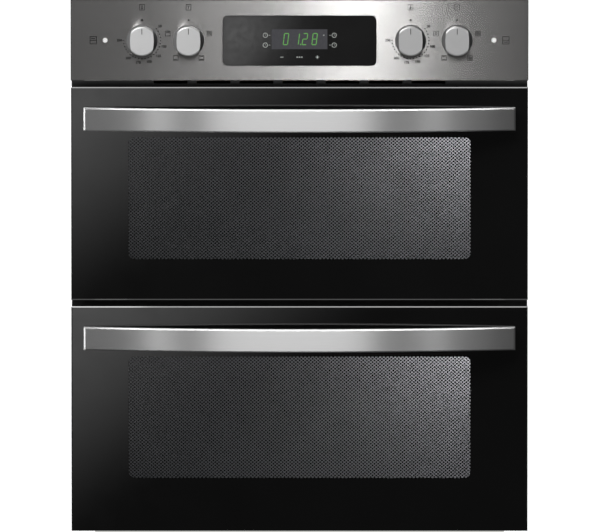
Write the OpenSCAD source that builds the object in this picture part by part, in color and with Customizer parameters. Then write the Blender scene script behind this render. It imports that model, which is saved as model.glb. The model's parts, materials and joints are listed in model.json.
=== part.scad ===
// Built-under double oven: a control fascia over two drop-down doors.
// Origin at the middle of the base, +Z up, +X to the right, the doors face -Y.

/* [Overall] */
// Width of the fascia
oven_w = 595; // [592:1:600]
// Height from the base to the top of the fascia
oven_h = 695; // [690:1:700]
// Depth from the door glass to the rear cover
body_d = 568; // [560:1:580]
// Width of the casing that slides into the cabinet
casing_w = 555; // [554:1:556]
// Thickness of the sheet steel
sheet = 1; // [0.8:0.1:1.2]

/* [Doors] */
// Height of the fascia
fascia_h = 105; // [104:1:106]
// Height of the upper door
upper_door_h = 277.5; // [276:0.5:280]
// Air gap over each door
door_gap = 8.5; // [8:0.5:9]
// Clearance under the lower door
base_gap = 2; // [2:0.5:4]
// Thickness of a door without its handle
door_t = 36; // [36:1:38]
// Thickness of the door glass
glass_t = 4; // [4:0.5:5]
// Width of the window
window_w = 445; // [440:1:450]
// Height of the window
window_h = 159; // [156:1:162]
// Drop from the top of the door to the window
window_drop = 65.5; // [64:0.5:66]

/* [Handles] */
// Length of the handle bar
handle_l = 561; // [540:1:564]
// Height of the handle bar
handle_h = 29.5; // [26:0.5:30]
// Thickness of the handle bar
handle_t = 12; // [10:1:12]
// How far the middle of the bar stands proud of the glass
handle_reach = 52; // [50:1:54]
// How far the ends of the bar stand proud of the glass
handle_end_reach = 14; // [14:1:15]
// Drop from the top of the door to the middle of the bar
handle_drop = 41; // [40:1:42]

/* [Ovens] */
// Width inside each oven
cavity_w = 460; // [456:1:460]
// Height inside the upper oven
upper_cavity_h = 202; // [200:1:202]
// Height inside the lower oven
lower_cavity_h = 210; // [206:1:212]
// Depth inside each oven
cavity_d = 410; // [408:1:412]

/* [Controls] */
// Diameter of a knob's skirt
knob_d = 40.4; // [38:0.2:42]
// Height of a knob over the fascia
knob_reach = 25; // [22:1:28]
// Height of the knobs' axes over the fascia's bottom edge
knob_rise = 52.5; // [52:0.5:53]
// Width of the display window
display_w = 200; // [196:1:204]
// Height of the display window
display_h = 65.5; // [62:0.5:66]

/* [Hidden] */
$fn = 48;

// Planes across the depth, from the front
total_d = body_d + handle_reach;
glass_y = handle_reach - total_d / 2;
rear_y = total_d / 2;
door_back_y = glass_y + door_t;
frame_gap = 8;
frame_y = door_back_y + frame_gap;
casing_y = frame_y + sheet;
cavity_back_y = casing_y + cavity_d;
eps = 0.5;
merge = 0.001;

// Edges of the front's sheet steel and glass
fascia_edge = 0.8;
glass_edge_h = 1.3;
glass_edge_d = 0.75;

// Levels, from the base
lower_door_z = base_gap;
upper_door_z = oven_h - fascia_h - door_gap - upper_door_h;
lower_door_h = upper_door_z - door_gap - lower_door_z;
fascia_z = oven_h - fascia_h;
casing_top = oven_h - 4;

// Windows, cavities and what goes round them
window_r = 8;
cavity_lift = 4;
cavity_r = 20;
upper_window_z = upper_door_z + upper_door_h - window_drop - window_h / 2;
lower_window_z = lower_door_z + lower_door_h - window_drop - window_h / 2;
upper_mid = upper_window_z + cavity_lift;
lower_mid = lower_window_z + cavity_lift;
flange = 14;
gasket_w = 8;
gasket_gap = 0.4;
blanket_t = 22;
element_room = 10;

// Hinges: the pivot lies inside the door's lower edge, behind the glass
pivot_y = glass_y + 14;
pivot_rise = 10;
hinge_x = 272;
arm_t = 6;
arm_r = 7;
pin_r = 3;
pin_play = 0.06;
channel_wall = 1.5;
channel_h = 168;
channel_rise = 4.5;
slot_half = 5.5;

// Handle: a bar bowed in plan, its outer face on one large arc
handle_sag = handle_reach - handle_end_reach;
handle_r = (pow(handle_l / 2, 2) + pow(handle_sag, 2)) / (2 * handle_sag);
handle_angle = 2 * asin(handle_l / 2 / handle_r);
handle_axis_y = glass_y - handle_reach + handle_r;
handle_chamfer = 1.5;
handle_back_edge = 1;
post_x = 240;
post_r = 7;
stud_r = 4;

// Controls
knob_z = fascia_z + knob_rise;
outer_knob_x = 204.6;
inner_knob_x = 144.2;
upper_thermostat_x = -outer_knob_x;
upper_selector_x = -inner_knob_x;
lower_thermostat_x = inner_knob_x;
lower_selector_x = outer_knob_x;
lamp_x = 252.6;
lamp_r = 3;
display_r = 7;
display_t = 3;
display_proud = 0.6;
display_z = oven_h - 53;
bracket_y = glass_y + 20;
spindle_r = 3;
spindle_play = 0.1;
spindle_depth = 14;
knob_socket_d = 14;
knob_gap = 0.6;
bush_r = 5;

// Wire racks, shelves and heating rods
rack_r = 2.5;
rack_x = cavity_w / 2 - 10.5;
rack_step = 32;
rack_levels = 5;
shelf_level = 2;
shelf_d = 330;
shelf_y = casing_y + 18;
shelf_x = rack_x - 1.5;
shelf_play = 0.3;
rod_r = 3.25;
grill_drop = 18;
rod_leg = 150;
rod_bend = 50;
rod_front = -140;
rod_back = 100;
terminal_y = cavity_back_y + 28;

// Convection fan at the back of the lower oven
baffle_w = 260;
baffle_h = 176;
baffle_y = cavity_back_y - 47;
fan_r = 74;
ring_r = 80;
shaft_r = 4;
fan_motor_r = 34;
motor_play = 0.1;

// Cooling blower over the upper oven
duct_top = fascia_z + 13;
duct_w = 400;
duct_back_y = 130;
blower_y = 40;
blower_r = 78;
blower_flange = 10;
blower_h = 42;
wheel_r = 60;

// Oven lamps, in the back walls
oven_lamp_x = -185;
oven_lamp_drop = 38;
lamp_socket_r = 18;

// Holes through the back walls for the fan's shaft and the rods' ends
shaft_hole_r = 6;
ring_end_x = 14;
rod_play = 0.5;

// Mains terminal box in the rear cover
box_x = -200;
box_w = 100;
box_h = 62;
box_d = 35;
box_z = 610;
inlet_r = 10;

// Screws
screw_r = 1.95;
screw_head_r = 4;
screw_head_h = 2;
screw_drop = 8;
screw_inset = 7;
screw_grip = 0.05;
cabinet_screw_x = 286;
cabinet_screw_z = [150, 500];
cabinet_screw_r = 2.5;
screw_rows = [70, 340, 620];
screw_columns = [-150, 50, 250];

steel = "#b9b9b6";
galvanised = "#9aa0a3";
enamel = "#2b2d33";
black = "#151515";
wire = "#c9ccce";
copper = "#7a6a5c";
white = "#e8e6e0";

// ---------- shared shapes ----------

// Flat rectangle with round corners, drawn in width and height about (0, mid)
module rounded_rect(w, h, r, mid = 0) {
  translate([0, mid]) {
    square([w - 2 * r, h], center = true);
    square([w, h - 2 * r], center = true);
    for (x = [-1, 1], z = [-1, 1])
      translate([x * (w / 2 - r), z * (h / 2 - r)]) circle(r);
  }
}

// Stands an outline drawn in x and z upright, from y to y + t
module upright(y, t) {
  translate([0, y + t, 0]) rotate([90, 0, 0]) linear_extrude(t) children();
}

// Block between two corners
module block(low, high) {
  translate(low) cube(high - low);
}

module rod_x(x0, x1, y, z, r) {
  translate([x0, y, z]) rotate([0, 90, 0]) cylinder(h = x1 - x0, r = r);
}

module rod_y(y0, y1, x, z, r) {
  translate([x, y0, z]) rotate([-90, 0, 0]) cylinder(h = y1 - y0, r = r);
}

module rod_z(z0, z1, x, y, r) {
  translate([x, y, z0]) cylinder(h = z1 - z0, r = r);
}

// Its children, and their mirror image on the other side of the middle
module both_sides() {
  children();
  mirror([1, 0, 0]) children();
}

// ---------- casing ----------

module front_frame() {
  frame_w = oven_w - 1;
  frame_low = 4;
  frame_top = fascia_z + 12;
  vent_w = 44;
  vent_h = 5;
  vent_pitch = 56;
  color(black) upright(frame_y, sheet) difference() {
    translate([-frame_w / 2, frame_low]) square([frame_w, frame_top - frame_low]);
    rounded_rect(cavity_w, upper_cavity_h, cavity_r, upper_mid);
    rounded_rect(cavity_w, lower_cavity_h, cavity_r, lower_mid);
    for (side = [-1, 1], z = [lower_door_z, upper_door_z])
      translate([side * hinge_x, z + pivot_rise]) square([2 * slot_half, 2 * arm_r + 4], center = true);
    for (i = [-3:3])
      translate([i * vent_pitch, fascia_z - door_gap / 2]) square([vent_w, vent_h], center = true);
    for (side = [-1, 1], z = cabinet_screw_z)
      translate([side * cabinet_screw_x, z]) circle(cabinet_screw_r);
  }
}

// Cutter for a round hole through the back wall of a liner
module back_hole(x, z, r) {
  rod_y(cavity_back_y - eps, cavity_back_y + sheet + eps, x, z, r);
}

// One oven's enamelled liner: a box open at the front, with a flange against the front frame
module cavity(mid, h, with_fan) {
  difference() {
    union() {
      upright(casing_y, cavity_d + sheet)
        rounded_rect(cavity_w + 2 * sheet, h + 2 * sheet, cavity_r + sheet, mid);
      upright(casing_y, sheet) rounded_rect(cavity_w + 2 * flange, h + 2 * flange, cavity_r + flange, mid);
    }
    upright(casing_y - eps, cavity_d + eps) rounded_rect(cavity_w, h, cavity_r, mid);
    back_hole(oven_lamp_x, mid + h / 2 - oven_lamp_drop, lamp_socket_r + 1);
    if (with_fan) {
      back_hole(0, mid, shaft_hole_r);
      for (side = [-1, 1]) back_hole(side * ring_end_x, mid - ring_r, rod_r + rod_play);
    } else {
      for (side = [-1, 1]) back_hole(side * rod_leg, mid + h / 2 - grill_drop, rod_r + rod_play);
    }
  }
}

module upper_cavity() {
  color(enamel) cavity(upper_mid, upper_cavity_h, false);
}

module lower_cavity() {
  color(enamel) cavity(lower_mid, lower_cavity_h, true);
}

// Seal round an oven's mouth, just short of the closed door's inner glass
module gasket(mid, h) {
  reach = 4;
  outer = reach + gasket_w;
  depth = frame_gap - gasket_gap;
  color("#3a3a3a") upright(frame_y - depth, depth) difference() {
    rounded_rect(cavity_w + 2 * outer, h + 2 * outer, cavity_r + outer, mid);
    rounded_rect(cavity_w + 2 * reach, h + 2 * reach, cavity_r + reach, mid);
  }
}

module upper_gasket() {
  gasket(upper_mid, upper_cavity_h);
}

module lower_gasket() {
  gasket(lower_mid, lower_cavity_h);
}

// Mineral wool wrapped round one liner, with room for an element under its floor
module blanket(mid, h, with_fan) {
  inner_w = cavity_w + 2 * sheet;
  inner_h = h + 2 * sheet + element_room;
  inner_mid = mid - element_room / 2;
  start = casing_y + sheet;
  back = cavity_back_y + sheet;
  difference() {
    upright(start, back - start + blanket_t)
      rounded_rect(inner_w + 2 * blanket_t, inner_h + 2 * blanket_t, cavity_r, inner_mid);
    upright(start - eps, back - start + eps) rounded_rect(inner_w, inner_h, cavity_r, inner_mid);
    rod_y(back - eps, back + blanket_t + eps, oven_lamp_x, mid + h / 2 - oven_lamp_drop, lamp_socket_r + 2);
    if (with_fan) {
      rod_y(back - eps, back + blanket_t + eps, 0, mid, fan_motor_r + 6);
      for (side = [-1, 1])
        rod_y(back - eps, back + blanket_t + eps, side * ring_end_x, mid - ring_r, rod_r + 2 * rod_play);
    } else {
      for (side = [-1, 1], z = [mid + h / 2 - grill_drop, mid - h / 2 - sheet - element_room / 2])
        rod_y(back - eps, back + blanket_t + eps, side * rod_leg, z, rod_r + 2 * rod_play);
    }
  }
}

module insulation_blankets() {
  color("#d9c98a") {
    blanket(upper_mid, upper_cavity_h, false);
    blanket(lower_mid, lower_cavity_h, true);
  }
}

// Cutter for a screw hole in the sheet whose outer face is at x
module screw_hole(x, y, z, play) {
  rod_x(x - 2 * sheet, x + sheet, y, z, screw_r + play);
}

module side_panel() {
  loose = 0.25;
  difference() {
    block([casing_w / 2 - sheet, casing_y, sheet], [casing_w / 2, rear_y, casing_top - sheet]);
    for (y = screw_columns) screw_hole(casing_w / 2, y, casing_top - screw_drop, loose);
    for (z = screw_rows) screw_hole(casing_w / 2, rear_y - screw_inset, z, loose);
  }
}

module side_panel_right() {
  color(galvanised) side_panel();
}

module side_panel_left() {
  color(galvanised) mirror([1, 0, 0]) side_panel();
}

// Cutters for slots in rows and columns, each w by h about (x, y), cut through the plane z = 0
module slots(w, h, columns, rows, pitch_x, pitch_y) {
  for (i = [0:columns - 1], j = [0:rows - 1])
    translate([i * pitch_x - w / 2, j * pitch_y - h / 2, -2 * sheet]) cube([w, h, 4 * sheet]);
}

// Lid of the casing, with turned-down edges inside the side panels
module top_cover() {
  inner = casing_w / 2 - sheet;
  lip = 14;
  corner_gap = 16;
  slot_pitch = [80, 24];
  first_slot = [-2 * slot_pitch[0], 183];
  color(galvanised) difference() {
    union() {
      block([-casing_w / 2, casing_y, casing_top - sheet], [casing_w / 2, rear_y, casing_top]);
      both_sides() block([inner - sheet, casing_y, casing_top - lip],
                         [inner, rear_y - corner_gap, casing_top - sheet + merge]);
    }
    for (y = screw_columns) both_sides() screw_hole(inner, y, casing_top - screw_drop, screw_grip);
    translate([first_slot[0], first_slot[1], casing_top - sheet])
      slots(60, 6, 5, 4, slot_pitch[0], slot_pitch[1]);
  }
}

// Back of the casing, louvred, cut out round the terminal box
module rear_cover() {
  inner = casing_w / 2 - sheet;
  top = casing_top - sheet;
  lip = 14;
  corner_gap = 16;
  play = 0.3;
  slot_h = 5;
  row_pitch = 22;
  low_row = 252.5;
  high_row = 562.5;
  color(galvanised) difference() {
    union() {
      block([-inner, rear_y - sheet, sheet], [inner, rear_y, top]);
      both_sides()
        block([inner - sheet, rear_y - lip, corner_gap], [inner, rear_y - sheet + merge, top - corner_gap]);
    }
    for (z = screw_rows) both_sides() screw_hole(inner, rear_y - screw_inset, z, screw_grip);
    translate([-150, rear_y - sheet, low_row]) rotate([90, 0, 0]) slots(90, slot_h, 3, 8, 150, row_pitch);
    translate([45, rear_y - sheet, high_row]) rotate([90, 0, 0]) slots(90, slot_h, 2, 4, 120, row_pitch);
    block([box_x - box_w / 2 - play, rear_y - 2 * sheet, box_z - box_h / 2 - play],
          [box_x + box_w / 2 + play, rear_y + sheet, box_z + box_h / 2 + play]);
  }
}

// Floor of the casing, with turned-up edges and cooling slots
module base_tray() {
  inner = casing_w / 2 - sheet;
  lip = 12;
  corner_gap = 16;
  slot_pitch = [90, 80];
  color(galvanised) difference() {
    union() {
      block([-casing_w / 2, casing_y, 0], [casing_w / 2, rear_y, sheet]);
      both_sides() block([inner - sheet, casing_y, sheet - merge], [inner, rear_y - corner_gap, sheet + lip]);
    }
    translate([-2 * slot_pitch[0], -116, 0]) slots(60, 8, 5, 5, slot_pitch[0], slot_pitch[1]);
  }
}

// Channel that leads the cooling air to the slots over the upper door
module air_duct() {
  floor_z = upper_mid + upper_cavity_h / 2 + sheet + blanket_t;
  color(galvanised) difference() {
    block([-duct_w / 2, casing_y, floor_z], [duct_w / 2, duct_back_y, duct_top]);
    block([-duct_w / 2 + sheet, casing_y - 1, floor_z - 1],
          [duct_w / 2 - sheet, duct_back_y - sheet, duct_top - sheet]);
    rod_z(duct_top - 2 * sheet, duct_top + sheet, 0, blower_y, blower_r - blower_flange);
  }
}

// Pan-head screws through the side panels into the edges of the top and rear covers
module casing_screw() {
  shank = 5;
  rod_x(casing_w / 2 - shank, casing_w / 2, 0, 0, screw_r);
  rod_x(casing_w / 2, casing_w / 2 + screw_head_h, 0, 0, screw_head_r);
}

module casing_screws() {
  color(steel) both_sides() {
    for (y = screw_columns) translate([0, y, casing_top - screw_drop]) casing_screw();
    for (z = screw_rows) translate([0, rear_y - screw_inset, z]) casing_screw();
  }
}

// ---------- controls ----------

// Pressed front of sheet steel with folded edges, its top turned back over the casing
module fascia_panel() {
  side_depth = bracket_y - glass_y;
  play = 0.15;
  spindle_hole_r = spindle_r + 1.5;
  e = fascia_edge;
  color(steel) difference() {
    hull() {
      block([e - oven_w / 2, glass_y, fascia_z + e], [oven_w / 2 - e, casing_y - sheet, oven_h - e]);
      block([-oven_w / 2, glass_y + e, fascia_z], [oven_w / 2, casing_y - sheet, oven_h]);
    }
    block([-oven_w / 2 + sheet, glass_y + sheet, fascia_z + sheet], [oven_w / 2 - sheet, rear_y, oven_h - sheet]);
    block([-oven_w, glass_y + side_depth, fascia_z - sheet], [oven_w, rear_y, oven_h - sheet]);
    for (x = [upper_thermostat_x, upper_selector_x, lower_thermostat_x, lower_selector_x])
      rod_y(glass_y - sheet, glass_y + 2 * sheet, x, knob_z, spindle_hole_r);
    for (x = [-lamp_x, lamp_x])
      rod_y(glass_y - sheet, glass_y + 2 * sheet, x, knob_z, lamp_r + 0.1);
    upright(glass_y - sheet, 3 * sheet)
      rounded_rect(display_w + 2 * play, display_h + 2 * play, display_r + play, display_z);
  }
}

// Carrier behind the fascia that holds the switches and joins the side panels
module control_bracket() {
  inner = casing_w / 2 - sheet;
  leg_d = 56;
  leg_low = fascia_z + 14;
  leg_top = casing_top - 16;
  margin = 2.5;
  socket_half = [60, 15];
  color(galvanised) difference() {
    union() {
      block([-oven_w / 2 + sheet, bracket_y, fascia_z + margin],
            [oven_w / 2 - sheet, bracket_y + sheet, oven_h - sheet - margin]);
      both_sides() block([inner - sheet, bracket_y + sheet - merge, leg_low],
                         [inner, bracket_y + sheet + leg_d, leg_top]);
    }
    for (x = [upper_thermostat_x, upper_selector_x, lower_thermostat_x, lower_selector_x])
      rod_y(bracket_y - sheet, bracket_y + 2 * sheet, x, knob_z, bush_r + 0.05);
    block([-socket_half[0], bracket_y - sheet, display_z - socket_half[1]],
          [socket_half[0], bracket_y + 2 * sheet, display_z + socket_half[1]]);
  }
}

// Black glass over the touch timer, a little proud of the fascia
module display_window() {
  color(black) upright(glass_y - display_proud, display_t)
    rounded_rect(display_w, display_h, display_r, display_z);
}

module timer_module() {
  front = glass_y + display_t - display_proud;
  w = 186;
  h = 56;
  wall = 1.6;
  face = 3;
  color("#26312b") difference() {
    block([-w / 2, front, display_z - h / 2], [w / 2, bracket_y, display_z + h / 2]);
    block([-w / 2 + wall, front + face, display_z - h / 2 + wall],
          [w / 2 - wall, bracket_y + 1, display_z + h / 2 - wall]);
  }
}

// A rotary control behind the bracket: threaded bush in front, case behind, bore for the spindle
module rotary_control(x, case_r, case_d) {
  nut_t = 2.5;
  nut_r = 8;
  bush_reach = 6;
  bore_depth = spindle_depth + 1;
  difference() {
    union() {
      rod_y(bracket_y - bush_reach, bracket_y + sheet, x, knob_z, bush_r);
      rod_y(bracket_y + sheet, bracket_y + sheet + case_d, x, knob_z, case_r);
      translate([x, bracket_y - nut_t, knob_z]) rotate([-90, 0, 0]) cylinder(h = nut_t, r = nut_r, $fn = 6);
    }
    rod_y(bracket_y - bush_reach - 1, bracket_y + bore_depth, x, knob_z, spindle_r + spindle_play);
  }
}

module thermostats() {
  color(steel) for (x = [upper_thermostat_x, lower_thermostat_x]) rotary_control(x, 19, 24);
}

module selector_switches() {
  deck = 26;
  case_d = 18;
  deck_d = 20;
  deck_y = bracket_y + sheet + case_d;
  color(white) for (x = [upper_selector_x, lower_selector_x]) {
    rotary_control(x, 20, case_d);
    block([x - deck, deck_y, knob_z - deck], [x + deck, deck_y + deck_d, knob_z + deck]);
  }
}

module indicator_lamps() {
  proud = 0.8;
  collar = 2;
  color("#d8d8d0") for (x = [-lamp_x, lamp_x]) {
    rod_y(glass_y - proud, glass_y + sheet, x, knob_z, lamp_r);
    rod_y(glass_y + sheet, bracket_y, x, knob_z, lamp_r + collar);
  }
}

// Knob with a round skirt and a grip between two bowed flats
module knob(x) {
  skirt_h = 2.5;
  grip_r = 19.1;
  grip_half = 15.4;
  bow_r = 60;
  edge = 1.6;
  front = knob_reach - knob_gap;
  groove = [0.8, 7.6, 0.4];
  groove_start = 9;
  outline = [[0, 0], [grip_r, 0], [grip_r, front - edge], [grip_r - edge / 3, front - edge / 3],
             [grip_r - edge, front], [0, front]];
  color("#a9a9a8") translate([x, glass_y - knob_gap, knob_z]) rotate([90, 0, 0]) difference() {
    union() {
      cylinder(h = skirt_h, r = knob_d / 2);
      intersection() {
        rotate_extrude() polygon(outline);
        translate([bow_r - grip_half, 0, -1]) cylinder(h = front + 2, r = bow_r, $fn = 180);
        translate([grip_half - bow_r, 0, -1]) cylinder(h = front + 2, r = bow_r, $fn = 180);
      }
    }
    translate([0, 0, -1]) cylinder(h = knob_socket_d + 1, r = spindle_r + 0.02);
    translate([-groove[0] / 2, groove_start, front - groove[2]]) cube([groove[0], groove[1], 2 * groove[2]]);
  }
}

module upper_thermostat_knob() {
  knob(upper_thermostat_x);
}

module upper_selector_knob() {
  knob(upper_selector_x);
}

module lower_thermostat_knob() {
  knob(lower_thermostat_x);
}

module lower_selector_knob() {
  knob(lower_selector_x);
}

module spindle(x) {
  front = glass_y - knob_gap - knob_socket_d + 1.1;
  color(steel) rod_y(front, bracket_y + spindle_depth, x, knob_z, spindle_r);
}

module upper_thermostat_spindle() {
  spindle(upper_thermostat_x);
}

module upper_selector_spindle() {
  spindle(upper_selector_x);
}

module lower_thermostat_spindle() {
  spindle(lower_thermostat_x);
}

module lower_selector_spindle() {
  spindle(lower_selector_x);
}

// ---------- ovens: racks, elements, fan, lamps ----------

// Two wire ladders, one on each side wall
module side_racks(mid, h) {
  floor_z = mid - h / 2;
  upright_x = rack_x + 2 * rack_r - 0.6;
  front = casing_y + 22;
  length = 350;
  low = floor_z + 14;
  top = floor_z + (rack_levels + 0.6) * rack_step;
  first = front + 6;
  last = front + length - 6;
  stay_r = 2;
  color(wire) both_sides() {
    for (i = [1:rack_levels]) rod_y(front, front + length, rack_x, floor_z + i * rack_step, rack_r);
    for (y = [first, front + length / 2, last]) rod_z(low, top, upright_x, y, rack_r);
    for (y = [first, last], z = [floor_z + 1.5 * rack_step, top - 20])
      rod_x(upright_x, cavity_w / 2, y, z, stay_r);
  }
}

module upper_side_racks() {
  side_racks(upper_mid, upper_cavity_h);
}

module lower_side_racks() {
  side_racks(lower_mid, lower_cavity_h);
}

// Wire shelf that slides on one pair of rack rods
module shelf(mid, h) {
  z = mid - h / 2 + (shelf_level + 1) * rack_step + 2 * rack_r + shelf_play;
  wires = 6;
  pitch = 32;
  wire_r = 1.5;
  wire_rise = 2.4;
  cross_r = 2;
  back = shelf_y + shelf_d;
  color(wire) {
    both_sides() rod_y(shelf_y, back, shelf_x, z, rack_r);
    for (y = [shelf_y, back]) rod_x(-shelf_x - rack_r, shelf_x + rack_r, y, z, rack_r);
    for (y = [shelf_y + shelf_d / 3, shelf_y + 2 * shelf_d / 3]) rod_x(-shelf_x, shelf_x, y, z, cross_r);
    for (i = [-wires:wires]) rod_y(shelf_y, back, i * pitch, z + wire_rise, wire_r);
  }
}

module upper_shelf() {
  shelf(upper_mid, upper_cavity_h);
}

module lower_shelf() {
  shelf(lower_mid, lower_cavity_h);
}

// Half ring of heating rod, bulging towards the front or the back
module rod_bend(x, y, z, turn) {
  translate([x, y, z]) rotate([0, 0, turn]) rotate_extrude(angle = 180) translate([rod_bend, 0]) circle(rod_r);
}

// Heating rod bent in four legs, its ends led out through the back
module heating_rod(z) {
  for (side = [-1, 1]) {
    rod_y(rod_front, terminal_y, side * rod_leg, z, rod_r);
    rod_y(rod_front, rod_back, side * rod_bend, z, rod_r);
    rod_bend(side * (rod_leg + rod_bend) / 2, rod_front, z, 180);
  }
  rod_bend(0, rod_back, z, 0);
}

module upper_grill_element() {
  color(copper) heating_rod(upper_mid + upper_cavity_h / 2 - grill_drop);
}

module upper_base_element() {
  color(copper) heating_rod(upper_mid - upper_cavity_h / 2 - sheet - element_room / 2);
}

// Ring element round the fan
module lower_ring_element() {
  ring_y = cavity_back_y - 24;
  ends = [-ring_end_x, ring_end_x];
  color(copper) {
    translate([0, ring_y, lower_mid]) rotate([90, 0, 0])
      rotate_extrude($fn = 96) translate([ring_r, 0]) circle(rod_r);
    for (x = ends) rod_y(ring_y, terminal_y, x, lower_mid - ring_r, rod_r);
  }
}

// Cover over the fan: a shallow box open to the back wall, with a ring of air holes
module fan_baffle() {
  corner_r = 12;
  hole_r = 4.5;
  ring_step = 15;
  slot_h = 20;
  slot_pitch = 30;
  slot_start = baffle_y + 16;
  slot_d = 10;
  color(enamel) difference() {
    upright(baffle_y, cavity_back_y - baffle_y) rounded_rect(baffle_w, baffle_h, corner_r, lower_mid);
    upright(baffle_y + sheet, cavity_back_y)
      rounded_rect(baffle_w - 2 * sheet, baffle_h - 2 * sheet, corner_r - sheet, lower_mid);
    for (ring = [1:3], i = [0:6 * ring - 1])
      rod_y(baffle_y - sheet, baffle_y + 2 * sheet, ring_step * ring * cos(60 / ring * i),
            lower_mid + ring_step * ring * sin(60 / ring * i), hole_r);
    both_sides() for (row = [-2:2])
      block([baffle_w / 2 - 3 * sheet, slot_start, lower_mid + row * slot_pitch - slot_h / 2],
            [baffle_w / 2 + 3 * sheet, slot_start + slot_d, lower_mid + row * slot_pitch + slot_h / 2]);
  }
}

// Impeller with its shaft, which runs in the fan motor
module fan_impeller() {
  disc_y = cavity_back_y - 12;
  shaft_end = cavity_back_y + 60;
  metal = 1.5;
  blade_d = 20;
  blade_start = 30;
  blade_l = fan_r - blade_start - 4;
  blades = 8;
  color(steel) {
    rod_y(disc_y - blade_d, shaft_end, 0, lower_mid, shaft_r);
    rod_y(disc_y, disc_y + metal, 0, lower_mid, fan_r);
    translate([0, disc_y - blade_d, lower_mid]) for (i = [0:blades - 1]) rotate([0, i * 360 / blades, 0])
      translate([blade_start, 0, -metal / 2]) cube([blade_l, blade_d + eps, metal]);
  }
}

// Motor behind the lower oven, on a bar across the blanket
module fan_motor() {
  back = cavity_back_y + sheet;
  front_d = 26;
  body_len = 50;
  neck_r = 14;
  bar_half = 60;
  bar_h = 24;
  color(galvanised) difference() {
    union() {
      rod_y(back, back + front_d, 0, lower_mid, neck_r);
      rod_y(back + front_d, back + front_d + body_len, 0, lower_mid, fan_motor_r);
      block([-bar_half, back + front_d, lower_mid - bar_h / 2],
            [bar_half, back + front_d + 2, lower_mid + bar_h / 2]);
      both_sides() block([bar_half - 12, back + blanket_t, lower_mid - bar_h / 2],
                         [bar_half - 4, back + front_d + eps, lower_mid + bar_h / 2]);
    }
    rod_y(back - 1, back + front_d + body_len - 14, 0, lower_mid, shaft_r + motor_play);
  }
}

// Round housing over the duct, open below, with an inlet on top
module blower_housing() {
  wall = 1.5;
  inlet = 42;
  color(galvanised) difference() {
    union() {
      rod_z(duct_top, duct_top + blower_h, 0, blower_y, blower_r);
      rod_z(duct_top, duct_top + 2 * sheet, 0, blower_y, blower_r + blower_flange);
    }
    rod_z(duct_top - 1, duct_top + blower_h - wall, 0, blower_y, blower_r - wall);
    rod_z(duct_top + blower_h - wall - eps, duct_top + blower_h + 1, 0, blower_y, inlet);
  }
}

// Motor over the inlet, on a three-armed bracket
module blower_motor() {
  base = duct_top + blower_h;
  body_r = 32;
  body_h = 33;
  arm_w = 10;
  arm_t = 2;
  arm_end = 68;
  foot_h = 3;
  foot_l = 10;
  color(steel) difference() {
    union() {
      rod_z(base + foot_h, base + foot_h + body_h, 0, blower_y, body_r);
      translate([0, blower_y, base]) for (i = [0:2]) rotate(90 + i * 120) {
        translate([20, -arm_w / 2, foot_h]) cube([arm_end - 20, arm_w, arm_t]);
        translate([arm_end - foot_l, -arm_w / 2, 0]) cube([foot_l, arm_w, foot_h + eps]);
      }
    }
    rod_z(base - 1, base + body_h - foot_h, 0, blower_y, shaft_r + motor_play);
  }
}

// Bladed wheel with its shaft, which runs in the blower motor
module blower_wheel() {
  bottom = duct_top + 5;
  disc_t = 2;
  shaft_top = duct_top + blower_h + 28;
  blade = [13, 1.2, 30];
  blade_start = 46;
  blade_turn = 30;
  blades = 16;
  color(black) {
    rod_z(bottom, shaft_top, 0, blower_y, shaft_r);
    rod_z(bottom, bottom + disc_t, 0, blower_y, wheel_r);
    translate([0, blower_y, bottom + disc_t / 2]) for (i = [0:blades - 1]) rotate(i * 360 / blades)
      translate([blade_start, 0, 0]) rotate(blade_turn) cube(blade);
  }
}

module lamp_holders() {
  back = cavity_back_y + sheet;
  holder_l = 48;
  color(white) for (z = [upper_mid + upper_cavity_h / 2, lower_mid + lower_cavity_h / 2])
    rod_y(back, back + holder_l, oven_lamp_x, z - oven_lamp_drop, lamp_socket_r);
}

// Glass covers of the oven lamps, low domes with a flat rim
module lamp_lenses() {
  dome_r = 26;
  dome_h = 11;
  rim_t = 3;
  color("#dfe7e8") for (z = [upper_mid + upper_cavity_h / 2, lower_mid + lower_cavity_h / 2])
    translate([oven_lamp_x, cavity_back_y, z - oven_lamp_drop]) rotate([90, 0, 0]) {
      cylinder(h = rim_t, r = lamp_socket_r + 4);
      intersection() {
        translate([0, 0, dome_h - dome_r]) sphere(dome_r);
        cylinder(h = 2 * dome_h, r = lamp_socket_r);
      }
    }
}

// Box for the mains terminals, with a cable inlet through its rear boss
module terminal_box() {
  wall = 2.5;
  boss = 8;
  front = rear_y - box_d;
  color(black) difference() {
    block([box_x - box_w / 2, front, box_z - box_h / 2], [box_x + box_w / 2, rear_y, box_z + box_h / 2]);
    difference() {
      block([box_x - box_w / 2 + wall, front + wall, box_z - box_h / 2 + wall],
            [box_x + box_w / 2 - wall, rear_y - wall, box_z + box_h / 2 - wall]);
      rod_y(rear_y - boss, rear_y + 1, box_x, box_z, inlet_r + 5);
    }
    rod_y(rear_y - boss - 1, rear_y + 1, box_x, box_z, inlet_r);
  }
}

// ---------- hinges ----------

// Fixed plate from the casing to the pivot inside the door, with a foot behind the front frame
module hinge_arm(pivot_z) {
  foot_x = casing_w / 2 - 2 * sheet - 0.5;
  foot_half = arm_r + 3;
  arm_end = casing_y + 40;
  difference() {
    union() {
      rod_x(hinge_x - arm_t / 2, hinge_x + arm_t / 2, pivot_y, pivot_z, arm_r);
      block([hinge_x - arm_t / 2, pivot_y, pivot_z - arm_r], [hinge_x + arm_t / 2, arm_end, pivot_z + arm_r]);
      block([hinge_x - 12, casing_y, pivot_z - foot_half], [foot_x, casing_y + 2, pivot_z + foot_half]);
    }
    rod_x(hinge_x - arm_t, hinge_x + arm_t, pivot_y, pivot_z, pin_r + 0.02);
  }
}

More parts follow.
